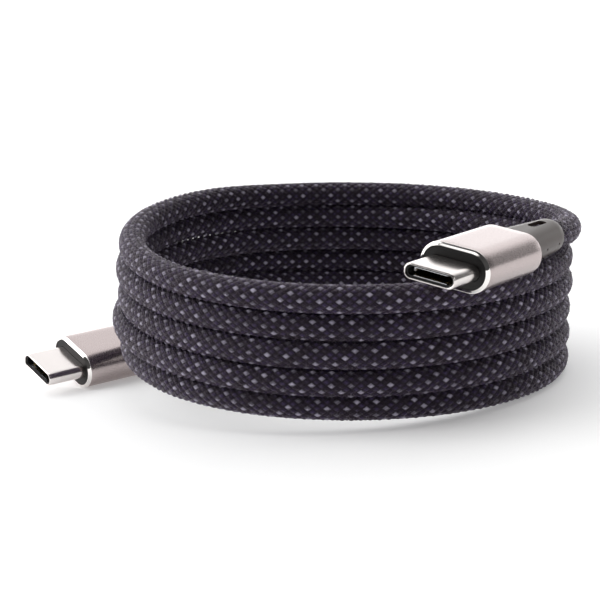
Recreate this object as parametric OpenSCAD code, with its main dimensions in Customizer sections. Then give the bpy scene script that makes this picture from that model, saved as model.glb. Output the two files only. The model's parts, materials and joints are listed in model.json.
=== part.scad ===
// Braided charging cable with a plug at each end, kept as a round coil.
// The coil leans on its own lower plug; the upper plug lies on the top turn.
// Millimetres, +Z up, z = 0 is the surface the cable lies on.

/* [Cord] */
// Outer diameter of the braided cord
cord_d = 4.1; // [3.6:0.05:4.6]
// Radius of the coil, measured at the middle of the cord
coil_r = 34.25; // [30:0.25:40]
// Spacing of the stacked turns
turn_pitch = 4.09; // [3.6:0.01:4.6]
// How far the second turn settles down beside the first
turn_nest = 0.6; // [0:0.05:1]
// Lean of the coil on its lower plug, degrees
coil_lean = 4.5; // [0:0.1:8]
// Direction in which the coil leans down, degrees
lean_toward = -20; // [-180:1:180]

/* [Plug body] */
// Width of the metal sleeve
sleeve_w = 11.2; // [10:0.1:13]
// Thickness of the metal sleeve
sleeve_t = 6.25; // [5.5:0.05:7.5]
// Length of the metal sleeve
sleeve_len = 16; // [14:0.25:22]
// Wall of the metal sleeve
sleeve_wall = 0.5; // [0.4:0.05:1]
// Polished bevel around the front of the sleeve
bevel = 0.42; // [0.2:0.02:0.8]
// Depth of the dark face behind the sleeve's front edge
face_sunk = 0.12; // [0:0.02:0.5]

/* [Connector shell] */
// Width of the metal connector shell
shell_w = 8.25; // [8.2:0.01:8.3]
// Thickness of the metal connector shell
shell_t = 2.4; // [2.35:0.01:2.45]
// How far the shell stands out of the sleeve
shell_out = 6.65; // [6.2:0.05:7]
// Sheet thickness of the shell
shell_wall = 0.3; // [0.2:0.05:0.4]

/* [Strain relief] */
// Width of the relief at the sleeve
relief_w = 7.9; // [6:0.1:10]
// Thickness of the relief
relief_t = 5; // [4.6:0.1:6]
// Width of the relief at the cord
relief_end_w = 5.5; // [5:0.1:8]
// Thickness of the relief at the cord
relief_end_t = 5.2; // [4.6:0.1:6]
// Length of the relief
relief_len = 12.9; // [8:0.1:18]
// Length of the slot in the top of the relief
slot_len = 4.5; // [2:0.1:8]
// Width of the slot
slot_w = 1.4; // [0.8:0.1:2.5]
// Distance from the cord end of the relief to the middle of the slot
slot_back = 4.6; // [3:0.1:9]

/* [Hidden] */
$fn = 96;
cord_r = cord_d / 2;
relief_end = -sleeve_len - relief_len;
first_z = cord_r;
second_z = cord_r + turn_pitch - turn_nest;
lift = 2.694;
low_at = [-45.42, 5.14, 4.12];
low_turn = [-22.35, -0.32, -139.14];
top_at = [16.75, -38.69, 23.75];
top_turn = [-11.56, -0.8, -123.26];
shift = [6.89, 4.81, 0.03];
bore_r = 2.02;

// ---- placing -------------------------------------------------------
module place_low() {
  translate(shift + low_at) rotate(low_turn) rotate([90, 0, 90]) children();
}

module place_top() {
  translate(shift + top_at) rotate(top_turn) rotate([90, 0, 90]) children();
}

module place_coil() {
  translate(shift + [0, 0, lift])
    rotate([0, 0, lean_toward]) rotate([0, coil_lean, 0]) rotate([0, 0, -lean_toward])
      children();
}

// ---- flat oval shapes, z along the plug, x its width, y its thickness ----
module oval(w, t) {
  square([w - t, t], center = true);
  translate([(w - t) / 2, 0]) circle(d = t);
  translate([-(w - t) / 2, 0]) circle(d = t);
}

module oval_bar(w, t, z0, z1) {
  translate([0, 0, z0]) linear_extrude(z1 - z0) oval(w, t);
}

module oval_turned(w, t, points) {
  translate([(w - t) / 2, 0, 0]) rotate_extrude() polygon(points);
  translate([-(w - t) / 2, 0, 0]) rotate_extrude() polygon(points);
  rotate([90, 0, 90]) linear_extrude(w - t, center = true) {
    polygon(points);
    mirror([1, 0]) polygon(points);
  }
}

module block(x0, x1, y0, y1, z0, z1) {
  translate([x0, y0, z0]) cube([x1 - x0, y1 - y0, z1 - z0]);
}

// ---- pieces of one plug, z = 0 at the sleeve's front edge ----
module sleeve_shape() {
  half = sleeve_t / 2;
  difference() {
    oval_turned(sleeve_w, sleeve_t, [[0, 0], [half - bevel, 0], [half, -bevel],
      [half, 0.35 - sleeve_len], [half - 0.12, 0.12 - sleeve_len],
      [half - 0.35, -sleeve_len], [0, -sleeve_len]]);
    oval_bar(sleeve_w - 2 * sleeve_wall, sleeve_t - 2 * sleeve_wall, -sleeve_len - 1, 1);
  }
}

module face_shape() {
  difference() {
    oval_bar(sleeve_w - 2 * sleeve_wall - 0.04, sleeve_t - 2 * sleeve_wall - 0.04, -1.6, -face_sunk);
    oval_bar(shell_w + 0.06, shell_t + 0.06, -3, 1);
  }
}

module shell_shape() {
  half = shell_t / 2;
  difference() {
    oval_turned(shell_w, shell_t, [[0, -4.5], [half, -4.5], [half, shell_out - 0.28],
      [half - 0.05, shell_out - 0.13], [half - 0.15, shell_out - 0.03],
      [half - 0.24, shell_out], [0, shell_out]]);
    oval_bar(shell_w - 2 * shell_wall, shell_t - 2 * shell_wall, -6, 8);
  }
}

module insulator_shape() {
  difference() {
    oval_bar(7.6, 1.75, -4.4, shell_out - 0.25);
    oval_bar(7.1, 1.35, 0.3, 8);
    block(-3.2, 3.2, 0.5, 0.7, -5, 1);
    block(-3.2, 3.2, -0.7, -0.5, -5, 1);
    block(-2.85, 2.85, -0.13, 0.13, -5, 1);
  }
}

module contact_row(y0) {
  for (x = [-2.75, -2.25, -1.25, -0.75, -0.25, 0.25, 0.75, 1.25, 2.25, 2.75])
    block(x - 0.125, x + 0.125, y0, y0 + 0.14, -5.4, 5.6);
}

module mid_plate_shape() {
  block(-2.8, 2.8, -0.1, 0.1, -4.3, 0.28);
}

// Sprung side arm that catches the socket's tongue
module latch_shape() {
  block(3.05, 3.25, -0.3, 0.3, 0.4, 5.2);
  block(2.8, 3.1, -0.3, 0.3, 4.5, 5.2);
}

module ground_springs_shape() {
  block(-2.6, 2.6, 0.56, 0.66, 5.7, 6.2);
  block(-2.6, 2.6, -0.66, -0.56, 5.7, 6.2);
}

module board_shape() {
  difference() {
    block(-3.6, 3.6, -0.5, 0.5, -13, -4.6);
    block(-4, -3, -1, 1, -14, -12);
    block(3, 4, -1, 1, -14, -12);
  }
}

module chip_shape() {
  block(-1, 1, 0.52, 1.1, -9, -7);
}

module capacitors_shape() {
  block(-2.4, -1.4, -1.02, -0.52, -8, -7.5);
  block(1.4, 2.4, -1.02, -0.52, -8, -7.5);
  block(-0.5, 0.5, -1.02, -0.52, -9.5, -9);
}

module wire_pair(y0) {
  translate([-1.25, y0, -14.6]) cylinder(r = 0.4, h = 3.6);
  translate([1.25, y0, -14.6]) cylinder(r = 0.4, h = 3.6);
}

module shield_can_shape() {
  difference() {
    block(-4.1, 4.1, -1.7, 1.7, -13.4, -4.8);
    block(-3.95, 3.95, -1.55, 1.55, -14, -4);
  }
}

module inner_mould_shape() {
  difference() {
    oval_bar(10.1, 5.15, -15.9, -1.75);
    oval_bar(shell_w + 0.06, shell_t + 0.06, -4.75, 0);
    block(-4.16, 4.16, -1.76, 1.76, -13.5, -4.7);
    translate([0, 0, -17]) cylinder(r = 2.36, h = 4);
  }
}

module crimp_ring_shape() {
  difference() {
    translate([0, 0, -15.8]) cylinder(r = 2.3, h = 2.2);
    translate([0, 0, -17]) cylinder(r = bore_r, h = 5);
  }
}

module cord_end_shape() {
  translate([0, 0, relief_end + 0.5]) cylinder(r = 1.99, h = -relief_end - 15.3);
}

module relief_shape() {
  difference() {
    hull() {
      oval_bar(relief_w, relief_t, -sleeve_len - 0.25, -sleeve_len - 0.05);
      oval_bar(relief_end_w, relief_end_t, relief_end, relief_end + 0.2);
    }
    translate([0, 0, relief_end - 1]) cylinder(r = bore_r, h = relief_len + 3);
    translate([0, 0, relief_end + slot_back]) rotate([-90, 0, 0]) linear_extrude(4) {
      square([slot_w, slot_len - slot_w], center = true);
      translate([0, (slot_len - slot_w) / 2]) circle(d = slot_w);
      translate([0, -(slot_len - slot_w) / 2]) circle(d = slot_w);
    }
  }
}

// ---- swept cord ------------------------------------------------------
function unit(v) = v / norm(v);

function along(p, i) = unit(p[min(i + 1, len(p) - 1)] - p[max(i - 1, 0)]);

function ring_at(p, i, r, n) =
  let (t = along(p, i), s = unit(cross([0, 0, 1], t)), u = cross(t, s))
  [for (k = [0 : n - 1]) p[i] + r * (cos(360 * k / n) * u + sin(360 * k / n) * s)];

module swept_cord(p, r, n) {
  rings = len(p);
  points = [for (i = [0 : rings - 1]) each ring_at(p, i, r, n)];
  sides = [for (i = [0 : rings - 2], k = [0 : n - 1])
    [i * n + k, i * n + (k + 1) % n, (i + 1) * n + (k + 1) % n, (i + 1) * n + k]];
  first = [for (k = [n - 1 : -1 : 0]) k];
  last = [for (k = [0 : n - 1]) (rings - 1) * n + k];
  polyhedron(points = points, faces = concat([first], sides, [last]));
}

function on_ring(angle, radius, height) =
  [radius * cos(angle), radius * sin(angle), height];

// Route of the lower end of the cord: angle around the coil, radius, height
first_route = [
  [134.4, 33.7, 3.95], [124, 34.2, 4.45], [114, 34.6, 5], [104, 34.8, 5.3],
  [94, 34.8, 5.25], [84, 34.8, 4.9], [74, 34.8, 4.5], [64, 34.7, 4.05],
  [55, 34.5, 3.7], [45.4, 34.3, 3.6]];

// Route of the top turn in the coil's own leaning frame
top_route = [
  [119.4, 34, 21.75], [109, 34.2, 21.75], [98, 34.3, 21.75], [87, 34.4, 21.75],
  [76, 34.6, 21.75], [65, 34.8, 21.75], [54, 35, 21.75], [43, 35.2, 21.75],
  [32, 35.4, 21.8], [21, 35.6, 21.9], [10, 35.65, 22.1], [0, 35.5, 22.4],
  [-10, 35.15, 22.8], [-18, 34.6, 23.15], [-24.1, 33.95, 23.4]];

// ---- nodes -----------------------------------------------------------
module turns_section(first, last) {
  for (k = [first : last])
    translate([coil_r, second_z + (k - 1) * turn_pitch]) circle(r = cord_r);
  translate([coil_r - 1, second_z + (first - 1) * turn_pitch])
    square([2, (last - first) * turn_pitch]);
}

module coil_front() color([0.2, 0.19, 0.21]) place_coil() {
  rotate([0, 0, -90]) rotate_extrude(angle = 209.6) turns_section(1, 4);
  rotate([0, 0, -90]) rotate_extrude(angle = 135) {
    translate([coil_r, first_z]) circle(r = cord_r);
    translate([coil_r - 0.6, first_z]) square([1.2, second_z - first_z]);
  }
}

module coil_rear() color([0.2, 0.19, 0.21]) place_coil()
  translate([0, -coil_r, 0]) rotate([0, 0, 105]) rotate([0, -3.54, 0]) rotate([0, 0, -105])
    translate([0, coil_r, 0]) rotate([0, 0, 120.3]) rotate_extrude(angle = 148.9) {
      translate([coil_r, first_z]) circle(r = cord_r);
      translate([coil_r - 0.8, first_z]) square([1.6, second_z - first_z]);
      turns_section(1, 4);
    }

module top_turn_cord() color([0.24, 0.22, 0.25]) place_coil()
  swept_cord([for (q = top_route) on_ring(q[0], q[1], q[2])], cord_r, 12);

module first_turn_cord() color([0.24, 0.22, 0.25]) translate(shift)
  swept_cord([for (q = first_route) on_ring(q[0], q[1], q[2])], cord_r, 12);

module low_sleeve() color([0.78, 0.74, 0.72]) place_low() sleeve_shape();
module low_face() color([0.12, 0.12, 0.13]) place_low() face_shape();
module low_shell() color([0.82, 0.82, 0.84]) place_low() shell_shape();
module low_insulator() color([0.08, 0.08, 0.09]) place_low() insulator_shape();
module low_upper_contacts() color([0.85, 0.68, 0.3]) place_low() contact_row(0.52);
module low_lower_contacts() color([0.85, 0.68, 0.3]) place_low() contact_row(-0.66);
module low_mid_plate() color([0.7, 0.7, 0.72]) place_low() mid_plate_shape();
module low_latch_left() color([0.75, 0.75, 0.77]) place_low() mirror([1, 0, 0]) latch_shape();
module low_latch_right() color([0.75, 0.75, 0.77]) place_low() latch_shape();
module low_ground_springs() color([0.75, 0.75, 0.77]) place_low() ground_springs_shape();
module low_board() color([0.1, 0.3, 0.16]) place_low() board_shape();
module low_chip() color([0.07, 0.07, 0.08]) place_low() chip_shape();
module low_capacitors() color([0.6, 0.5, 0.4]) place_low() capacitors_shape();
module low_power_wires() color([0.7, 0.12, 0.1]) place_low() wire_pair(0.93);
module low_data_wires() color([0.85, 0.85, 0.82]) place_low() wire_pair(-0.93);
module low_shield_can() color([0.72, 0.72, 0.73]) place_low() shield_can_shape();
module low_inner_mould() color([0.2, 0.2, 0.2]) place_low() inner_mould_shape();
module low_crimp_ring() color([0.68, 0.66, 0.6]) place_low() crimp_ring_shape();
module low_cord_end() color([0.1, 0.1, 0.11]) place_low() cord_end_shape();
module low_relief() color([0.52, 0.5, 0.48]) place_low() relief_shape();

module top_sleeve() color([0.78, 0.74, 0.72]) place_top() sleeve_shape();
module top_face() color([0.12, 0.12, 0.13]) place_top() face_shape();
module top_shell() color([0.82, 0.82, 0.84]) place_top() shell_shape();
module top_insulator() color([0.08, 0.08, 0.09]) place_top() insulator_shape();
module top_upper_contacts() color([0.85, 0.68, 0.3]) place_top() contact_row(0.52);
module top_lower_contacts() color([0.85, 0.68, 0.3]) place_top() contact_row(-0.66);
module top_mid_plate() color([0.7, 0.7, 0.72]) place_top() mid_plate_shape();
module top_latch_left() color([0.75, 0.75, 0.77]) place_top() mirror([1, 0, 0]) latch_shape();
module top_latch_right() color([0.75, 0.75, 0.77]) place_top() latch_shape();
module top_ground_springs() color([0.75, 0.75, 0.77]) place_top() ground_springs_shape();
module top_board() color([0.1, 0.3, 0.16]) place_top() board_shape();
module top_chip() color([0.07, 0.07, 0.08]) place_top() chip_shape();
module top_capacitors() color([0.6, 0.5, 0.4]) place_top() capacitors_shape();
module top_power_wires() color([0.7, 0.12, 0.1]) place_top() wire_pair(0.93);
module top_data_wires() color([0.85, 0.85, 0.82]) place_top() wire_pair(-0.93);
module top_shield_can() color([0.72, 0.72, 0.73]) place_top() shield_can_shape();
module top_inner_mould() color([0.2, 0.2, 0.2]) place_top() inner_mould_shape();
module top_crimp_ring() color([0.68, 0.66, 0.6]) place_top() crimp_ring_shape();
module top_cord_end() color([0.1, 0.1, 0.11]) place_top() cord_end_shape();
module top_relief() color([0.52, 0.5, 0.48]) place_top() relief_shape();

coil_front();
coil_rear();
top_turn_cord();
first_turn_cord();
low_sleeve();
low_face();
low_shell();
low_insulator();
low_upper_contacts();
low_lower_contacts();
low_mid_plate();
low_latch_left();
low_latch_right();
low_ground_springs();
low_board();
low_chip();
low_capacitors();
low_power_wires();
low_data_wires();
low_shield_can();
low_inner_mould();
low_crimp_ring();
low_cord_end();
low_relief();
top_sleeve();
top_face();
top_shell();
top_insulator();
top_upper_contacts();
top_lower_contacts();
top_mid_plate();
top_latch_left();
top_latch_right();
top_ground_springs();
top_board();
top_chip();
top_capacitors();
top_power_wires();
top_data_wires();
top_shield_can();
top_inner_mould();
top_crimp_ring();
top_cord_end();
top_relief();
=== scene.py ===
"""Braided charging cable wound into a round coil, with a plug at each end."""
import json
import math
import bpy
import numpy as np
from mathutils import Matrix, Vector
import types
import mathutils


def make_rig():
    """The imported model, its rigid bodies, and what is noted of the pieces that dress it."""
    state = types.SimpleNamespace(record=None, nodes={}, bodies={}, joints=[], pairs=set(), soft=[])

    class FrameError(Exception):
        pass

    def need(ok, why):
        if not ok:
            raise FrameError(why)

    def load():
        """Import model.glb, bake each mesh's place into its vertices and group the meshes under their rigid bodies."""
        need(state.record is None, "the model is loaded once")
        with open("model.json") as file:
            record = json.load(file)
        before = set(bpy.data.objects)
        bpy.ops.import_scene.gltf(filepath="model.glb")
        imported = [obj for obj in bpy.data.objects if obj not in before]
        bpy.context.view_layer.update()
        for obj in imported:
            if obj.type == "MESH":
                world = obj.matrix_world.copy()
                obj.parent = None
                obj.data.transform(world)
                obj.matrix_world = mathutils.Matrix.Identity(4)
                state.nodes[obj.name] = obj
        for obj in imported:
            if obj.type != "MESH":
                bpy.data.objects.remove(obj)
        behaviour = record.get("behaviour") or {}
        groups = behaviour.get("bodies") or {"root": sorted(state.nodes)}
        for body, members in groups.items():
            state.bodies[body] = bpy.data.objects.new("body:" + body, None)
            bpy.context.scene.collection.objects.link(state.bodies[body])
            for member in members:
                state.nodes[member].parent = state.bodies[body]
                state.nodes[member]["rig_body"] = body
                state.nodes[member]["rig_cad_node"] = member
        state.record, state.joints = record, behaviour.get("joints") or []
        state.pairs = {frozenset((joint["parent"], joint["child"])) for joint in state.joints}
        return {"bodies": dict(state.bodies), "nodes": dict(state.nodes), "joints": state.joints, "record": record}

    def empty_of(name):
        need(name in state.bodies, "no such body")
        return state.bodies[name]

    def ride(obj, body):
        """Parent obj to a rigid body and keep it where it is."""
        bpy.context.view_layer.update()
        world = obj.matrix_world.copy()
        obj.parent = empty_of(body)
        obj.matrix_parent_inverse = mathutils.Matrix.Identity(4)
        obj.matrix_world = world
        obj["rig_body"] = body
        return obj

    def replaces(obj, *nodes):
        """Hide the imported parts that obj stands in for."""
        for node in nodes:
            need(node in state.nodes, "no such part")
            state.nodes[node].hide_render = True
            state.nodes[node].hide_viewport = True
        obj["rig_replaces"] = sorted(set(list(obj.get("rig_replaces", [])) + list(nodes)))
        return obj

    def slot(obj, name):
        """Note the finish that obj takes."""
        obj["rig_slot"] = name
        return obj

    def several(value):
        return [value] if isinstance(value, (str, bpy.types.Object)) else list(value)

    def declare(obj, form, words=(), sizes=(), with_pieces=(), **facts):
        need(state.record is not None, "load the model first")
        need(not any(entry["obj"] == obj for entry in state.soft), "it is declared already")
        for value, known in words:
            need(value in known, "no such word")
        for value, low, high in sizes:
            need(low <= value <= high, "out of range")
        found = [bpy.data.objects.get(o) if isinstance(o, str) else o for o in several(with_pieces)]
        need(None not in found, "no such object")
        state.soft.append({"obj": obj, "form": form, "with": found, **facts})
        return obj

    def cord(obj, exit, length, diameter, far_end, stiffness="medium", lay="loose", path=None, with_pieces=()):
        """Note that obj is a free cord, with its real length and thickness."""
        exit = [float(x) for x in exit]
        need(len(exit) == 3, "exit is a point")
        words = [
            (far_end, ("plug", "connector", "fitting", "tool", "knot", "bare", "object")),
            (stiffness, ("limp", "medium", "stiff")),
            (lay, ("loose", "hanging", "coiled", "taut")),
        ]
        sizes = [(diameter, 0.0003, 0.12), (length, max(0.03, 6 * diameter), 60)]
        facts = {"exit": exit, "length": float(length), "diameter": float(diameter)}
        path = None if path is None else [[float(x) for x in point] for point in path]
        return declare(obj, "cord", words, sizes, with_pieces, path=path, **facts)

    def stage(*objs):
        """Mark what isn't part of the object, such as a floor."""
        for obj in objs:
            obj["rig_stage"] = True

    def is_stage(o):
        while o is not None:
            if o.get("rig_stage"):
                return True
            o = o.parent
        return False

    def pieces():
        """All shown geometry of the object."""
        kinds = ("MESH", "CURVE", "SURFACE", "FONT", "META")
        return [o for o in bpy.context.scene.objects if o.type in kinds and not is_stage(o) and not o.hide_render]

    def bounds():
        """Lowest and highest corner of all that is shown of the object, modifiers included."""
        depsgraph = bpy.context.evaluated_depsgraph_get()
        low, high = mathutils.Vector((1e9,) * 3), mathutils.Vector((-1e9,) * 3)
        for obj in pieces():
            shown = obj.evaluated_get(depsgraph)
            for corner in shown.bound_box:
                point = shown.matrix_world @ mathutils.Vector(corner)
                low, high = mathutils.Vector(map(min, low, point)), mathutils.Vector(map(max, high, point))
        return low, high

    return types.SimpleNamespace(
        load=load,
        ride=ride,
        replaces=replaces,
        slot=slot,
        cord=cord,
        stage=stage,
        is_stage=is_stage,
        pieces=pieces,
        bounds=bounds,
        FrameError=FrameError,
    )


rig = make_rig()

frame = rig.load()
size_start = [list(corner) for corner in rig.bounds()]
record = frame["record"]
MM = 0.001

# ---- camera ------------------------------------------------------------
CAMERA_PLACE = Vector((11.92, -270.04, 67.02)) * MM
CAMERA_FORWARD = Vector((-0.0407, 0.9805, -0.1923)).normalized()
CAMERA_UP = Vector((0.0664, 0.1947, 0.9786))
LENS = 103.8
SENSOR = 36


def make_camera():
    data = bpy.data.cameras.new("camera")
    data.lens = LENS
    data.sensor_width = SENSOR
    data.clip_start = 0.01
    camera = bpy.data.objects.new("camera", data)
    bpy.context.collection.objects.link(camera)
    right = CAMERA_FORWARD.cross(CAMERA_UP).normalized()
    up = right.cross(CAMERA_FORWARD)
    turn = Matrix((right, up, -CAMERA_FORWARD)).transposed()
    camera.matrix_world = Matrix.Translation(CAMERA_PLACE) @ turn.to_4x4()
    bpy.context.scene.camera = camera


make_camera()

# ---- the cord's facts, in millimetres as in part.scad --------------------
CORD_D = 4.1
COIL_R = 34.25
TURN_PITCH = 4.09
TURN_NEST = 0.552      # how far the turns settle at the front and rear
PROPPED = 0.25         # how far the second turn is propped up at the rear by the first
COIL_LEAN = math.radians(4.5)
LEAN_TOWARD = math.radians(-20)
LIFT = 2.694           # raises the leaning coil until it rests on the table
SHIFT = np.array([6.89, 4.81, 0.03])
RELIEF_END = -28.9
SLEEVE_REAR = -16.0
SHELL_OUT = 6.65
CORD_LENGTH = 1.2

TURNS = 5              # turns that a loop works out; the two routes below are its ends
TURN_START = 120       # degrees where each turn begins; they run clockwise seen from above
FIRST_ROUTE_SPAN = 75  # degrees of the first turn that FIRST_ROUTE covers
TURN_STEPS = 36

# Route of the lower end: angle around the coil, radius, height above the table
FIRST_ROUTE = [
    (124, 34.2, 4.45), (114, 34.6, 5), (104, 34.8, 5.3), (94, 34.8, 5.25),
    (84, 34.8, 4.9), (74, 34.8, 4.5), (64, 34.7, 4.05), (55, 34.5, 3.7)]

# Route of the top turn in the coil's own leaning frame
TOP_ROUTE = [
    (109, 34.2, 21.75), (98, 34.3, 21.75), (87, 34.4, 21.75), (76, 34.6, 21.75),
    (65, 34.8, 21.75), (54, 35, 21.75), (43, 35.2, 21.75), (32, 35.4, 21.8),
    (21, 35.6, 21.9), (10, 35.65, 22.1), (0, 35.5, 22.4), (-10, 35.15, 22.8),
    (-18, 34.6, 23.15)]

# How each turn lies a little off the coil's middle: right, back, wider
TURN_OFFSETS = [
    (0, 1, -0.3), (0.15, -0.3, -0.1), (-0.95, 0.4, 0.3), (0.45, 0, 0.15),
    (-0.65, 0.3, -0.3), (1.05, -0.2, 0.5)]

# Share of the way around a turn, and how far it has risen to the next one there
CLIMB = [
    (0, 0), (0.55, 0), (0.65, 0.01), (0.72, 0.07), (0.79, 0.28), (0.835, 0.5),
    (0.88, 0.71), (0.94, 0.92), (1, 1)]

# Where the cord's middle passes inside each plug, from the crimp to just past the relief
INSIDE_PLUG = (-16.2, -20, -24, -27, RELIEF_END, -31)


def turn_z(angle):
    c, s = math.cos(angle), math.sin(angle)
    return np.array([[c, -s, 0], [s, c, 0], [0, 0, 1]])


def turn_y(angle):
    c, s = math.cos(angle), math.sin(angle)
    return np.array([[c, 0, s], [0, 1, 0], [-s, 0, c]])


LEAN = turn_z(LEAN_TOWARD) @ turn_y(COIL_LEAN) @ turn_z(-LEAN_TOWARD)


def from_coil(point):
    """A point of the coil's own frame, in the row frame."""
    return LEAN @ np.array(point) + SHIFT + [0, 0, LIFT]


def round_point(degrees, radius, height):
    a = math.radians(degrees)
    return np.array([radius * math.cos(a), radius * math.sin(a), height])


def climb(share):
    """How far a turn has risen to the next one, from 0 to 1 around the turn."""
    knots, rises = zip(*CLIMB)
    return float(np.interp(share, knots, rises))


def coil_point(turn, share):
    """Middle of the cord in turn number turn, share of the way around it."""
    degrees = TURN_START - 360 * share
    this, following = np.array(TURN_OFFSETS[turn]), np.array(TURN_OFFSETS[turn + 1])
    right, back, wider = this + (following - this) * share
    rise = turn + climb(share)
    to_rear = math.sin(math.radians(degrees))
    nest = TURN_NEST * to_rear ** 2 * min(rise, 1)
    propped = PROPPED * max(0, to_rear) * max(0, 1 - abs(rise - 1))
    height = CORD_D / 2 + TURN_PITCH * rise - nest + propped
    return from_coil(round_point(degrees, COIL_R + wider, height) + [right, back, 0])


def plug_matrix(name):
    """Row frame from a plug's own frame: x wide, y thick, z out of the mouth, 0 at the sleeve's front."""
    mount = next(m for m in record["mounts"] if m["name"] == name + "_plug")
    joints = record["behaviour"]["joints"]
    hinge = next(j for j in joints if j["name"] == name + "_latch_right_flex")
    out = Vector(mount["axis"]).normalized()
    thick = Vector(hinge["axis"]).normalized()
    wide = thick.cross(out).normalized()
    thick = out.cross(wide)
    place = Matrix((wide, thick, out)).transposed().to_4x4()
    place.translation = Vector(mount["pos_m"]) - out * SHELL_OUT * MM
    return place


PLUGS = {name: plug_matrix(name) for name in ("low", "top")}


def in_plug(name, along):
    """A point on a plug's axis, in millimetres of the row frame."""
    return np.array(PLUGS[name] @ Vector((0, 0, along * MM))) / MM


def control_points():
    """The cord from crimp to crimp: lower plug, coil, upper plug."""
    points = [in_plug("low", z) for z in INSIDE_PLUG]
    points += [round_point(*place) + SHIFT for place in FIRST_ROUTE]
    for step in range(TURNS * TURN_STEPS):
        if step * 360 >= FIRST_ROUTE_SPAN * TURN_STEPS:
            points.append(coil_point(step // TURN_STEPS, step % TURN_STEPS / TURN_STEPS))
    points += [from_coil(round_point(*place)) for place in TOP_ROUTE]
    points += [in_plug("top", z) for z in INSIDE_PLUG[::-1]]
    return np.array(points)


FINE_STEPS = 20000     # samples of the curve, for measuring along it


def smooth_curve(points, spacing):
    """Points an even spacing apart on the natural cubic spline through the given ones."""
    step = np.linalg.norm(np.diff(points, axis=0), axis=1)
    knots = np.concatenate([[0], np.cumsum(step)])
    n = len(knots)
    system = np.zeros((n, n))
    change = np.zeros((n, 3))
    system[0, 0] = system[-1, -1] = 1
    for i in range(1, n - 1):
        system[i, i - 1:i + 2] = step[i - 1], 2 * (step[i - 1] + step[i]), step[i]
        change[i] = 6 * ((points[i + 1] - points[i]) / step[i]
                         - (points[i] - points[i - 1]) / step[i - 1])
    bend = np.linalg.solve(system, change)

    def at(x):
        i = np.clip(np.searchsorted(knots, x, side="right") - 1, 0, n - 2)
        h = step[i][:, None]
        u = (x - knots[i])[:, None] / h
        v = 1 - u
        return (v * points[i] + u * points[i + 1]
                + ((v ** 3 - v) * bend[i] + (u ** 3 - u) * bend[i + 1]) * h * h / 6)

    fine = at(np.linspace(0, knots[-1], FINE_STEPS))
    run = np.concatenate([[0], np.cumsum(np.linalg.norm(np.diff(fine, axis=0), axis=1))])
    count = int(run[-1] / spacing)
    wanted = np.arange(count + 1) * run[-1] / count
    return np.stack([np.interp(wanted, run, fine[:, k]) for k in range(3)], axis=1)


# ---- braid ---------------------------------------------------------------
CARRIERS = 12          # yarns in each direction
SPLIT = 4              # mesh steps across one crossing
CROSSING = 0.1625 * CORD_D   # half the height of a crossing along the cord
GROOVE = 0.28          # depth of the grooves between crossings
PRESSED = 0.15         # how far the soft crowns press into the next turn
TABLE_GAP = 0.005      # height of the yarns that lie flat on the table
YARN_FILL = 0.96       # share of its track that a yarn's map covers
BAKE_STRIPS = 9        # the cord's length is laid out in this many strips of the bake map
AROUND = CARRIERS * SPLIT    # vertices in one row; every second row is half a step round
CORNERS = [(0, 0), (1, 1), (2, 0), (1, -1)]    # of a face: rows on, half steps round


def braid_directions(path):
    """Outward and upward directions at each row of the braid."""
    tangent = np.gradient(path, axis=0)
    tangent /= np.linalg.norm(tangent, axis=1)[:, None]
    out = -np.cross(tangent, [0, 0, 1])
    out /= np.linalg.norm(out, axis=1)[:, None]
    return out, np.cross(tangent, out)


def crossing_height(i, j):
    """Pillow height of the upper yarn at lattice place i, j, from 0 in the groove to 1."""
    ci, cj = np.floor(i + 0.5), np.floor(j + 0.5)
    off_i, off_j = np.abs(i - ci) * 2, np.abs(j - cj) * 2
    over = (ci + cj) % 2 == 0
    across, along = np.where(over, off_j, off_i), np.where(over, off_i, off_j)
    # a fixed scatter that makes the crossings unequal, the same in each run
    uneven = np.modf(np.abs(np.sin(ci * 12.99 + cj * 78.23)) * 437.6)[0]
    return (1 - across ** 2) * (1 - along ** 2.6) * (0.75 + 0.25 * uneven)


def braid_vertices(path):
    """Rings of points around the path, raised on each crossing."""
    out, up = braid_directions(path)
    row = np.arange(len(path))[:, None]
    place = 2 * np.arange(AROUND)[None, :] + row % 2
    height = crossing_height((place - row) / (2 * SPLIT), (place + row) / (2 * SPLIT))
    angle = place * math.pi / AROUND
    radius = CORD_D / 2 + PRESSED - GROOVE + GROOVE * height
    across = np.cos(angle)[..., None] * out[:, None] + np.sin(angle)[..., None] * up[:, None]
    verts = (path[:, None] + radius[..., None] * across).reshape(-1, 3)
    verts[:, 2] = np.maximum(verts[:, 2], TABLE_GAP)
    return verts * MM


def vertex(row, place):
    """Number of the vertex in a row, place half steps around it."""
    return row * AROUND + ((place % (2 * AROUND)) - row % 2) // 2


def end_triangles(first, second, offset):
    """Triangles that fill the zigzag of the end row, towards the row inside it."""
    spot = 2 * np.arange(AROUND) + (first % 2) + 1
    return np.stack([vertex(first, spot - offset), vertex(first, spot + offset),
                     vertex(second, spot)], axis=1)


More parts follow.
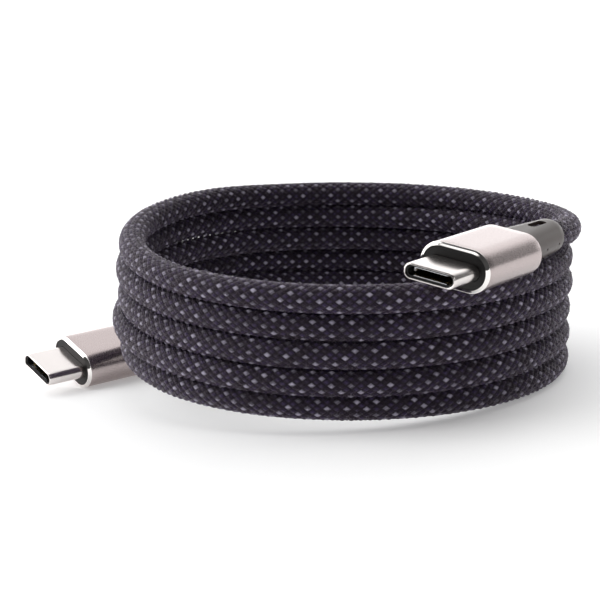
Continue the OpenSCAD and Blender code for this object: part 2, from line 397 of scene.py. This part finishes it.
def map_yarns(mesh, row, place, ci, cj, over, rows):
    """Yarn map: u across the yarn with a whole number for each yarn, v along it. OFBake: strips
    of the cord side by side, none overlapping."""
    yarn = mesh.uv_layers.new(name="yarn")
    bake = mesh.uv_layers.new(name="OFBake")
    uv = np.zeros((len(mesh.loops), 2), np.float32)
    strip_uv = np.zeros((len(mesh.loops), 2), np.float32)
    per_strip = -(-rows // BAKE_STRIPS)
    strip = row // per_strip
    number = np.where(over, cj % CARRIERS, CARRIERS + ci % CARRIERS)
    for n, (dr, dp) in enumerate(CORNERS):
        i = ((place + dp) - (row + dr)) / (2 * SPLIT)
        j = ((place + dp) + (row + dr)) / (2 * SPLIT)
        loops = np.arange(len(row)) * 4 + n
        uv[loops, 0] = number + 0.5 + np.where(over, j - cj, i - ci) * YARN_FILL
        uv[loops, 1] = np.where(over, i, j)
        across = (place + dp + 1) / (2 * AROUND + 2)
        strip_uv[loops, 0] = (row + dr - strip * per_strip + 1) / (per_strip + 4)
        strip_uv[loops, 1] = (strip + 0.02 + 0.96 * across) / BAKE_STRIPS
    yarn.data.foreach_set("uv", uv.ravel())
    bake.data.foreach_set("uv", strip_uv.ravel())


def make_cord():
    path = smooth_curve(control_points(), CROSSING / SPLIT)
    rows = len(path)
    row = np.repeat(np.arange(rows - 2), AROUND)
    place = 2 * np.tile(np.arange(AROUND), rows - 2) + row % 2
    quads = np.stack([vertex(row + dr, place + dp) for dr, dp in CORNERS], axis=1)
    ends = [end_triangles(0, 1, 1), end_triangles(rows - 1, rows - 2, -1)]
    caps = [list(range(AROUND))[::-1], list(range((rows - 1) * AROUND, rows * AROUND))]
    faces = [*quads.tolist(), *np.concatenate(ends).tolist(), *caps]
    mesh = bpy.data.meshes.new("braided_cord")
    mesh.from_pydata(braid_vertices(path).tolist(), [], faces)
    mesh.polygons.foreach_set("use_smooth", np.ones(len(faces), bool))

    # which crossing each face belongs to, and which yarn is on top there
    ci = np.floor((place - (row + 1)) / (2 * SPLIT) + 0.5)
    cj = np.floor((place + (row + 1)) / (2 * SPLIT) + 0.5)
    over = (ci + cj) % 2 == 0
    light = np.zeros(len(faces), np.int32)
    light[:len(quads)] = over & (cj % 2 == 0)
    mesh.polygons.foreach_set("material_index", light)
    map_yarns(mesh, row, place, ci, cj, over, rows)
    mesh.update()
    cord = bpy.data.objects.new("braided_cord", mesh)
    bpy.context.collection.objects.link(cord)
    return cord, path


cord, cord_path = make_cord()


# ---- materials -------------------------------------------------------------
def new_material(name):
    material = bpy.data.materials.new(name)
    material.use_nodes = True
    nodes = material.node_tree.nodes
    return material, nodes, material.node_tree.links, nodes["Principled BSDF"]


def maths(nodes, links, operation, *values):
    """A math node on sockets and numbers."""
    node = nodes.new("ShaderNodeMath")
    node.operation = operation
    for socket, value in zip(node.inputs, values):
        if isinstance(value, (int, float)):
            socket.default_value = value
        else:
            links.new(value, socket)
    return node.outputs[0]


def weighted(nodes, links, *pairs):
    """Sum of some values, each times its weight."""
    terms = [maths(nodes, links, "MULTIPLY", value, weight) for value, weight in pairs]
    total = terms[0]
    for term in terms[1:]:
        total = maths(nodes, links, "ADD", total, term)
    return total


def ramp(nodes, links, source, low, high, start=0.3, end=0.7):
    node = nodes.new("ShaderNodeValToRGB")
    node.color_ramp.elements[0].position = start
    node.color_ramp.elements[0].color = (*low, 1)
    node.color_ramp.elements[1].position = end
    node.color_ramp.elements[1].color = (*high, 1)
    links.new(source, node.inputs["Fac"])
    return node.outputs["Color"]


def band(nodes, links, source, start, end, low, high, step="SMOOTHSTEP"):
    """Goes from low to high while the source goes from start to end."""
    node = nodes.new("ShaderNodeMapRange")
    node.interpolation_type = step
    for name, value in (("From Min", start), ("From Max", end), ("To Min", low), ("To Max", high)):
        node.inputs[name].default_value = value
    links.new(source, node.inputs["Value"])
    return node.outputs["Result"]


def noise(nodes, links, size_mm, detail=3.0):
    """Noise whose grains are about size_mm across."""
    node = nodes.new("ShaderNodeTexNoise")
    node.inputs["Scale"].default_value = 1 / (size_mm * MM)
    node.inputs["Detail"].default_value = detail
    links.new(nodes.new("ShaderNodeTexCoord").outputs["Object"], node.inputs["Vector"])
    return node.outputs["Fac"]


def roughen(nodes, links, shader, source, low, high):
    """Roughness from low to high where the noise goes from its low to its high values."""
    links.new(band(nodes, links, source, 0.3, 0.7, low, high, "LINEAR"), shader.inputs["Roughness"])


def bump(nodes, links, shader, height, depth_mm):
    node = nodes.new("ShaderNodeBump")
    node.inputs["Distance"].default_value = depth_mm * MM
    links.new(height, node.inputs["Height"])
    links.new(node.outputs["Normal"], shader.inputs["Normal"])


def scaled(colour, factor):
    return tuple(min(1.0, c * factor) for c in colour)


def surface(name, colour, vary, grain_mm, rough, metal, depth_mm, specular=0.5):
    """A moulded, plated or machined surface with fine grain in colour, gloss and relief."""
    material, nodes, links, shader = new_material(name)
    fac = noise(nodes, links, grain_mm)
    links.new(ramp(nodes, links, fac, scaled(colour, 1 - vary), scaled(colour, 1 + vary)),
              shader.inputs["Base Color"])
    roughen(nodes, links, shader, fac, *rough)
    bump(nodes, links, shader, noise(nodes, links, grain_mm / 6), depth_mm)
    shader.inputs["Metallic"].default_value = metal
    shader.inputs["Specular IOR Level"].default_value = specular
    return material


PLIES = 3                      # twisted plies in a yarn
FIBRE_STRETCH = (8, 1.6, 1)    # the fibres' streaks are five times as long as wide
YARN_RELIEF = 0.22             # height of plies and fibres, millimetres


def fold(nodes, links, source, offset=0.0):
    """A yarn coordinate folded in each crossing: 0.5 in its middle, 0 at its edges."""
    return maths(nodes, links, "PINGPONG", maths(nodes, links, "ADD", source, offset), 0.5)


def fibre_streaks(nodes, links, uv):
    mapping = nodes.new("ShaderNodeMapping")
    mapping.inputs["Scale"].default_value = FIBRE_STRETCH
    links.new(uv, mapping.inputs["Vector"])
    node = nodes.new("ShaderNodeTexNoise")
    node.inputs["Scale"].default_value = 1
    node.inputs["Detail"].default_value = 3
    links.new(mapping.outputs["Vector"], node.inputs["Vector"])
    return node.outputs["Fac"]


def crossing_tone(nodes, links, u, v):
    """A chance value that each crossing has for itself."""
    cell = nodes.new("ShaderNodeCombineXYZ")
    links.new(maths(nodes, links, "FLOOR", u), cell.inputs[0])
    links.new(maths(nodes, links, "ROUND", v), cell.inputs[1])
    chance = nodes.new("ShaderNodeTexWhiteNoise")
    chance.noise_dimensions = "2D"
    links.new(cell.outputs[0], chance.inputs["Vector"])
    return chance.outputs["Value"]


def yarn_material(name, middle, edge, vary, rough, shade_reach, tint):
    """One braid yarn of a few plies: lighter on the crown of each crossing, with painted shade where it dives into the
    grooves.
    """
    material, nodes, links, shader = new_material(name)
    yarn_map = nodes.new("ShaderNodeUVMap")
    yarn_map.uv_map = "yarn"
    uv = yarn_map.outputs["UV"]
    split = nodes.new("ShaderNodeSeparateXYZ")
    links.new(uv, split.inputs[0])
    u, v = split.outputs["X"], split.outputs["Y"]

    ply = fold(nodes, links, maths(nodes, links, "MULTIPLY", u, PLIES))
    fibres = fibre_streaks(nodes, links, uv)
    ridge = weighted(nodes, links, (ply, 0.8), (fibres, 0.6))
    chance = crossing_tone(nodes, links, u, v)
    patchy = noise(nodes, links, 4.5, 1)
    mixed = weighted(nodes, links, (ridge, 0.5), (chance, 0.5), (patchy, 0.4))
    tone = ramp(nodes, links, mixed, scaled(middle, 1 - vary), scaled(middle, 1 + vary), 0.45, 0.95)

    # painted shade: this mask fades the yarn's colour to the dark edge colour towards each crossing's edges, where the
    # yarn dives into the grooves, so the crowns read lighter
    crown = maths(nodes, links, "MINIMUM", fold(nodes, links, u), fold(nodes, links, v, 0.5))
    painted_shade_mix = nodes.new("ShaderNodeMix")
    painted_shade_mix.data_type = "RGBA"
    painted_shade_mix.inputs["A"].default_value = (*edge, 1)
    links.new(tone, painted_shade_mix.inputs["B"])
    links.new(ramp(nodes, links, crown, (0, 0, 0), (1, 1, 1), *shade_reach), painted_shade_mix.inputs["Factor"])
    links.new(painted_shade_mix.outputs["Result"], shader.inputs["Base Color"])

    roughen(nodes, links, shader, fibres, rough, rough + 0.15)
    fuzz = noise(nodes, links, 0.3, 2)
    bump(nodes, links, shader, weighted(nodes, links, (ridge, 1), (fuzz, 0.8)), YARN_RELIEF)
    shader.inputs["Specular IOR Level"].default_value = 0.4
    shader.inputs["Specular Tint"].default_value = (*tint, 1)
    shader.inputs["Sheen Weight"].default_value = 0.25
    shader.inputs["Sheen Roughness"].default_value = 0.3
    shader.inputs["Sheen Tint"].default_value = (*tint, 1)
    return material


# Yarns: colour on the crown, painted groove shade at the edges, tone range, roughness, how far the
# painted shade reaches, tint of the sheen
DARK_YARN = yarn_material("dark_yarn", (0.0165, 0.0115, 0.036), (0.001, 0.0005, 0.002), 0.95,
                          0.33, (0.04, 0.36), (1.0, 0.8, 1.0))
LIGHT_YARN = yarn_material("light_yarn", (0.25, 0.232, 0.295), (0.003, 0.002, 0.004), 0.75,
                           0.36, (0.05, 0.26), (1.0, 0.85, 1.0))

# Surfaces: colour, tone range, grain in millimetres, roughness range, metal, relief in millimetres
SATIN_METAL = surface("satin_metal", (0.50, 0.43, 0.425), 0.012, 0.12, (0.25, 0.29), 1.0, 0.0002)
BEVEL_METAL = surface("polished_bevel", (0.93, 0.90, 0.88), 0.01, 0.4, (0.06, 0.09), 1.0, 0.0001)
SHELL_METAL = surface("nickel_shell", (0.77, 0.725, 0.71), 0.015, 0.5, (0.17, 0.22), 1.0, 0.0002)
DARK_FACE = surface("dark_face", (0.009, 0.008, 0.008), 0.15, 0.3, (0.38, 0.5), 0.0, 0.003, 0.25)
BLACK_PLASTIC = surface("black_plastic", (0.006, 0.006, 0.0065), 0.15, 0.3, (0.5, 0.6), 0.0, 0.003,
                        0.35)
RELIEF = surface("relief_rubber", (0.058, 0.041, 0.036), 0.12, 0.3, (0.34, 0.42), 0.0, 0.002, 0.36)
GOLD = surface("contact_gold", (0.9, 0.66, 0.28), 0.05, 0.3, (0.15, 0.25), 1.0, 0.001)
SPRING_STEEL = surface("spring_steel", (0.6, 0.6, 0.62), 0.05, 0.3, (0.2, 0.3), 1.0, 0.001)
BOARD_GREEN = surface("board_mask", (0.02, 0.16, 0.07), 0.12, 0.5, (0.25, 0.4), 0.0, 0.003)
CHIP_BLACK = surface("chip_black", (0.02, 0.02, 0.02), 0.1, 0.2, (0.5, 0.65), 0.0, 0.004)
CERAMIC = surface("capacitor_ceramic", (0.45, 0.33, 0.22), 0.08, 0.2, (0.4, 0.5), 0.0, 0.002)
RED_WIRE = surface("red_wire", (0.55, 0.03, 0.02), 0.08, 0.4, (0.3, 0.4), 0.0, 0.003)
PALE_WIRE = surface("pale_wire", (0.75, 0.75, 0.72), 0.04, 0.4, (0.3, 0.4), 0.0, 0.003)
TINNED = surface("tinned_can", (0.7, 0.7, 0.71), 0.05, 0.5, (0.25, 0.38), 1.0, 0.002)
MOULD = surface("inner_mould", (0.07, 0.07, 0.07), 0.1, 0.6, (0.5, 0.6), 0.0, 0.006)
CRIMP = surface("crimp_metal", (0.66, 0.64, 0.58), 0.06, 0.3, (0.25, 0.35), 1.0, 0.002)

cord.data.materials.append(DARK_YARN)
cord.data.materials.append(LIGHT_YARN)


# ---- the plugs' sizes, in millimetres as in part.scad ------------------------
SLEEVE_W, SLEEVE_T, SLEEVE_WALL, BEVEL = 11.2, 6.25, 0.5, 0.42
INNER_W, INNER_T = SLEEVE_W - 2 * SLEEVE_WALL, SLEEVE_T - 2 * SLEEVE_WALL
SHELL_W, SHELL_T, SHELL_WALL = 8.25, 2.4, 0.3
LINING_W, LINING_T = 7.58, 1.73
RELIEF_W, RELIEF_T, RELIEF_END_W, RELIEF_END_T = 7.9, 5.0, 5.5, 5.2
RELIEF_BORE = (4.3, 4.04)
RELIEF_FRONT = SLEEVE_REAR - 0.05
SLOT_BACK, SLOT_LENGTH, SLOT_WIDTH = 4.6, 4.5, 1.4
SLOT_CUT = (1.0, 4.0)          # from inside the relief's bore to above its top
DIMPLE_R, DIMPLE_DEPTH, DIMPLE_DROP = 0.2, 0.25, 0.3
DIMPLES = (-22.2, -26.9)       # where the mould's pins stood, along the plug
CATCH_T = 0.6
ARC = 28               # steps around each round end of an oval
FLAT = 5               # steps along each flat side
SHARP = math.radians(40)


# ---- lofted oval pieces of a plug ------------------------------------------
def oval_ring(wide, thick):
    """Points of a flat oval, anticlockwise, in millimetres."""
    half, r = (wide - thick) / 2, thick / 2
    right = [(half + r * math.cos(a), r * math.sin(a))
             for a in np.linspace(-math.pi / 2, math.pi / 2, ARC + 1)]
    top = [(half - 2 * half * n / FLAT, r) for n in range(1, FLAT)]
    left = [(-x, -y) for x, y in right]
    bottom = [(-half + 2 * half * n / FLAT, -r) for n in range(1, FLAT)]
    return right + top + left + bottom


def loft(name, plug, rows, materials, wrap=True):
    """An oval piece from rows of (width, thickness, z, material), front outside round to the inside."""
    verts, faces, index = [], [], []
    for wide, thick, z, _ in rows:
        verts += [(x * MM, y * MM, z * MM) for x, y in oval_ring(wide, thick)]
    n = len(verts) // len(rows)
    last = len(rows) if wrap else len(rows) - 1
    for k in range(last):
        a, b = k * n, ((k + 1) % len(rows)) * n
        for i in range(n):
            faces.append((a + i, b + i, b + (i + 1) % n, a + (i + 1) % n))
            index.append(rows[k][3])
    if not wrap:
        faces += [tuple(range(n)), tuple(range(last * n, last * n + n))[::-1]]
        index += [rows[0][3], rows[-1][3]]
    mesh = bpy.data.meshes.new(name)
    mesh.from_pydata(verts, [], faces)
    mesh.polygons.foreach_set("material_index", index)
    return finish_piece(name, plug, mesh, materials)


def prism(name, plug, outline, low, high, place, material):
    """An outline's closed solid from low to high, each point put in the plug's frame by place."""
    n = len(outline)
    verts = [[c * MM for c in place(a, b, depth)] for depth in (low, high) for a, b in outline]
    faces = [tuple(range(n)), tuple(range(n, 2 * n))[::-1]]
    faces += [(i, n + i, n + (i + 1) % n, (i + 1) % n) for i in range(n)]
    mesh = bpy.data.meshes.new(name)
    mesh.from_pydata(verts, [], faces)
    return finish_piece(name, plug, mesh, [material])


def finish_piece(name, plug, mesh, materials):
    mesh.transform(PLUGS[plug])
    mesh.polygons.foreach_set("use_smooth", [True] * len(mesh.polygons))
    mesh.set_sharp_from_angle(angle=SHARP)
    for material in materials:
        mesh.materials.append(material)
    mesh.update()
    piece = bpy.data.objects.new(name, mesh)
    bpy.context.collection.objects.link(piece)
    return piece


def cut(piece, cutter):
    """Takes the cutter's shape out of a piece."""
    modifier = piece.modifiers.new("cut", "BOOLEAN")
    modifier.object = cutter
    modifier.operation = "DIFFERENCE"
    modifier.solver = "EXACT"
    view = bpy.context.evaluated_depsgraph_get()
    mesh = bpy.data.meshes.new_from_object(piece.evaluated_get(view))
    piece.modifiers.clear()
    piece.data = mesh
    mesh.set_sharp_from_angle(angle=SHARP)
    bpy.data.objects.remove(cutter)


def stands_for(piece, node, slot):
    """The piece replaces a CAD node and rides on the cable's own body."""
    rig.replaces(piece, node)
    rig.slot(piece, slot)
    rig.ride(piece, "cable")
    return piece


def rounded(wide, thick, z, radius, material, front, count=5):
    """Rows of a rounded outer edge, at the front of a piece or at its rear."""
    rows = []
    for n in range(count + 1):
        a = math.pi / 2 * n / count
        if front:
            inset, drop = radius * (1 - math.sin(a)), radius * (1 - math.cos(a))
        else:
            inset, drop = radius * (1 - math.cos(a)), -radius * (1 - math.sin(a))
        rows.append((wide - 2 * inset, thick - 2 * inset, z - drop, material))
    return rows


def straight(wide, thick, heights, material=0):
    return [(wide, thick, z, material) for z in heights]


def make_sleeve(plug):
    satin, polished = 0, 1
    rows = [(INNER_W, INNER_T, -0.03, polished), (INNER_W + 0.03, INNER_T + 0.03, 0, polished)]
    for share in (0.0, 0.5, 1.0):
        grow = 0.06 + share * (2 * BEVEL - 0.1)
        rows.append((INNER_W + grow, INNER_T + grow, -0.012 - share * (BEVEL - 0.05), polished))
    rows.append((SLEEVE_W - 0.02, SLEEVE_T - 0.02, -BEVEL + 0.005, polished))
    rows += straight(SLEEVE_W, SLEEVE_T, (-BEVEL - 0.05, -2, -6, -10, -14), satin)
    rows += rounded(SLEEVE_W, SLEEVE_T, SLEEVE_REAR, 0.35, satin, False)
    rows += straight(INNER_W, INNER_T, (SLEEVE_REAR + 0.02, -8), satin)
    piece = loft(plug + "_metal_sleeve", plug, rows, [SATIN_METAL, BEVEL_METAL])
    return stands_for(piece, plug + "_sleeve", "sleeve_metal")


def make_face(plug):
    wide, thick, front, back = INNER_W - 0.02, INNER_T - 0.02, -0.12, -1.6
    rows = rounded(wide, thick, front, 0.06, 0, True, 3)
    rows += straight(wide, thick, (back,))
    rows += straight(SHELL_W + 0.02, SHELL_T + 0.02, (back, front - 0.06))
    rows += straight(SHELL_W + 0.12, SHELL_T + 0.12, (front,))
    piece = loft(plug + "_front_face", plug, rows, [DARK_FACE])
    return stands_for(piece, plug + "_face", "dark_face")


def make_shell(plug):
    back = -4.5
    rows = rounded(SHELL_W, SHELL_T, SHELL_OUT, 0.22, 0, True)
    rows += straight(SHELL_W, SHELL_T, (4, 1, -0.5, back))
    rows += straight(SHELL_W - 2 * SHELL_WALL, SHELL_T - 2 * SHELL_WALL, (back, 0, SHELL_OUT - 0.05))
    piece = loft(plug + "_connector_shell", plug, rows, [SHELL_METAL])
    return stands_for(piece, plug + "_shell", "shell_metal")


def make_insulator(plug):
    rows = straight(LINING_W - 0.48, LINING_T - 0.38, (0.3, SHELL_OUT - 0.3))
    rows += rounded(LINING_W, LINING_T, SHELL_OUT - 0.25, 0.08, 0, True, 3)
    rows += straight(LINING_W, LINING_T, (0, -4.4))
    piece = loft(plug + "_mouth_lining", plug, rows, [BLACK_PLASTIC], wrap=False)
    piece.data.flip_normals()
    return stands_for(piece, plug + "_insulator", "insulator")


def relief_row(share, inset=0.0):
    """The tapered relief's outside, share of the way from the sleeve to the cord."""
    wide = RELIEF_W + (RELIEF_END_W - RELIEF_W) * share
    thick = RELIEF_T + (RELIEF_END_T - RELIEF_T) * share
    z = RELIEF_FRONT + (RELIEF_END - RELIEF_FRONT) * share
    return (wide - 2 * inset, thick - 2 * inset, z, 0)


def slot_cutter(plug):
    """The oval slot through the top of the relief."""
    r = SLOT_WIDTH / 2
    half = SLOT_LENGTH / 2 - r
    outline = [(r * math.cos(a), half + r * math.sin(a)) for a in np.linspace(0, math.pi, 17)]
    outline += [(-x, -z) for x, z in outline]
    middle = RELIEF_END + SLOT_BACK
    return prism(plug + "_slot_cutter", plug, outline, *SLOT_CUT,
                 lambda x, z, y: (x, y, middle + z), RELIEF)


def dimple_cutter(plug, along):
    """A little round bar across the side of the relief, where a pin of the mould stood."""
    ring = [(DIMPLE_R * math.cos(a), DIMPLE_R * math.sin(a))
            for a in np.linspace(0, 2 * math.pi, 13)[:-1]]
    side = relief_row((along - SLEEVE_REAR) / (RELIEF_END - SLEEVE_REAR))[0] / 2
    return prism(plug + "_dimple_cutter", plug, ring, side + 1, side - DIMPLE_DEPTH,
                 lambda y, z, x: (x, y - DIMPLE_DROP, along + z), RELIEF)


def make_relief(plug):
    rows = straight(*RELIEF_BORE, (RELIEF_FRONT,))
    rows += [relief_row(0, 0.15), relief_row(0.004, 0.04), relief_row(0.012)]
    rows += [relief_row(share) for share in np.linspace(0.1, 0.97, 12)]
    rows += [relief_row(0.985, 0.05), relief_row(0.995, 0.15), relief_row(1, 0.32)]
    rows += straight(*RELIEF_BORE, (RELIEF_END, RELIEF_END + 2))
    piece = loft(plug + "_strain_relief", plug, rows, [RELIEF])
    cut(piece, slot_cutter(plug))
    for along in DIMPLES:
        cut(piece, dimple_cutter(plug, along))
    return stands_for(piece, plug + "_relief", "relief_grey")


def make_latch(plug, word, side):
    """Sprung side arm, curved in towards the mouth with a catch near its end; side is 1 or -1."""
    outline = [(3.05, 0.4), (3.25, 0.4), (3.27, 2.5), (3.24, 4.2), (3.2, 5.0), (3.3, 5.2),
               (3.16, 5.2), (2.96, 5.0), (2.82, 4.75), (3.02, 4.4), (3.06, 2.5)]
    outline = [(x * side, z) for x, z in outline[::side]]
    piece = prism(f"{plug}_{word}_catch", plug, outline, -CATCH_T / 2, CATCH_T / 2,
                  lambda x, z, y: (x, y, z), SPRING_STEEL)
    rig.replaces(piece, f"{plug}_latch_{word}")
    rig.slot(piece, "spring_steel")
    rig.ride(piece, f"{plug}_latch_{word}")


CARRIED = {
    "upper_contacts": GOLD, "lower_contacts": GOLD, "mid_plate": SPRING_STEEL,
    "ground_springs": SPRING_STEEL, "board": BOARD_GREEN, "chip": CHIP_BLACK,
    "capacitors": CERAMIC, "power_wires": RED_WIRE, "data_wires": PALE_WIRE,
    "shield_can": TINNED, "inner_mould": MOULD, "crimp_ring": CRIMP}


def carry_over(plug):
    """CAD pieces whose shape is right keep it and get their material here."""
    for node, material in CARRIED.items():
        data = frame["nodes"][f"{plug}_{node}"].data
        data.materials.clear()
        data.materials.append(material)


pieces = {}
for plug in PLUGS:
    pieces[plug] = [make_sleeve(plug), make_face(plug), make_shell(plug), make_insulator(plug),
                    make_relief(plug)]
    make_latch(plug, "right", 1)
    make_latch(plug, "left", -1)
    carry_over(plug)

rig.replaces(cord, "coil_front", "coil_rear", "top_turn_cord", "first_turn_cord",
            "low_cord_end", "top_cord_end")
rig.slot(cord, "braid")
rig.ride(cord, "cable")
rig.cord(cord, exit=tuple(cord_path[0] * MM), length=CORD_LENGTH, diameter=CORD_D * MM,
        far_end="plug", stiffness="medium", lay="coiled",
        path=[tuple(p * MM) for p in cord_path[::4]], with_pieces=pieces["top"])


# ---- stage -------------------------------------------------------------------
FLOOR_HALF = 3.0
FLOOR_GLOW = 0.24      # the paper is lit from below too, so that it stays white
SOFTBOX = 0.5
AIM = Vector((0, 0, 0.012))


def make_floor():
    mesh = bpy.data.meshes.new("floor")
    corners = [(-1, -1), (1, -1), (1, 1), (-1, 1)]
    mesh.from_pydata([(x * FLOOR_HALF, y * FLOOR_HALF, 0) for x, y in corners], [], [(0, 1, 2, 3)])
    floor = bpy.data.objects.new("floor", mesh)
    bpy.context.collection.objects.link(floor)
    material = surface("floor_paper", (0.9, 0.9, 0.9), 0.005, 40, (0.7, 0.8), 0.0, 0.0)
    shader = material.node_tree.nodes["Principled BSDF"]
    shader.inputs["Emission Color"].default_value = (1, 1, 1, 1)
    shader.inputs["Emission Strength"].default_value = FLOOR_GLOW
    mesh.materials.append(material)
    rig.stage(floor)


def softbox(name, place, power):
    data = bpy.data.lights.new(name, "AREA")
    data.shape = "SQUARE"
    data.size = SOFTBOX
    data.energy = power
    light = bpy.data.objects.new(name, data)
    light.location = place
    light.rotation_mode = "QUATERNION"
    light.rotation_quaternion = (AIM - Vector(place)).to_track_quat("-Z", "Y")
    bpy.context.collection.objects.link(light)


def make_world():
    """A white studio: bright behind and overhead, dark in front and to the right."""
    world = bpy.data.worlds.new("studio")
    world.use_nodes = True
    nodes, links = world.node_tree.nodes, world.node_tree.links
    split = nodes.new("ShaderNodeSeparateXYZ")
    links.new(nodes.new("ShaderNodeTexCoord").outputs["Generated"], split.inputs[0])
    east, north, up = split.outputs
    lift = maths(nodes, links, "ABSOLUTE", up)

    def both(first, second):
        return maths(nodes, links, "MULTIPLY", first, second)

    def step(source, start, end, low, high):
        return band(nodes, links, source, start, end, low, high)

    open_sides = both(step(north, -0.3, 0.65, 0.04, 1.0), step(east, 0.45, 0.85, 1.0, 0.12))
    behind = both(open_sides, step(lift, 0.35, 0.8, 1.5, 1.22))
    left_wall = both(step(east, -0.95, -0.55, 2.6, 0.0), step(north, -0.5, -0.2, 0.0, 1.0))
    horizon = both(step(lift, 0.15, 0.36, 2.8, 0.0), step(north, 0.45, 0.8, 0.0, 1.0))
    overhead = step(up, 0.84, 0.96, 0.0, 1.7)
    total = behind
    for part in (left_wall, horizon, overhead):
        total = maths(nodes, links, "MAXIMUM", part, total)
    background = nodes["Background"]
    links.new(total, background.inputs["Strength"])
    background.inputs["Color"].default_value = (1, 1, 1, 1)
    bpy.context.scene.world = world


make_floor()
make_world()
softbox("left_softbox", (-0.62, 0.02, 0.6), 1.6)
softbox("right_softbox", (0.72, -0.5, 0.33), 1.3)
bpy.context.scene.view_settings.view_transform = "Standard"

size_end = [list(corner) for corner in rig.bounds()]
with open("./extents.json", "w") as file:
    json.dump({"cad": size_start, "visual": size_end}, file)
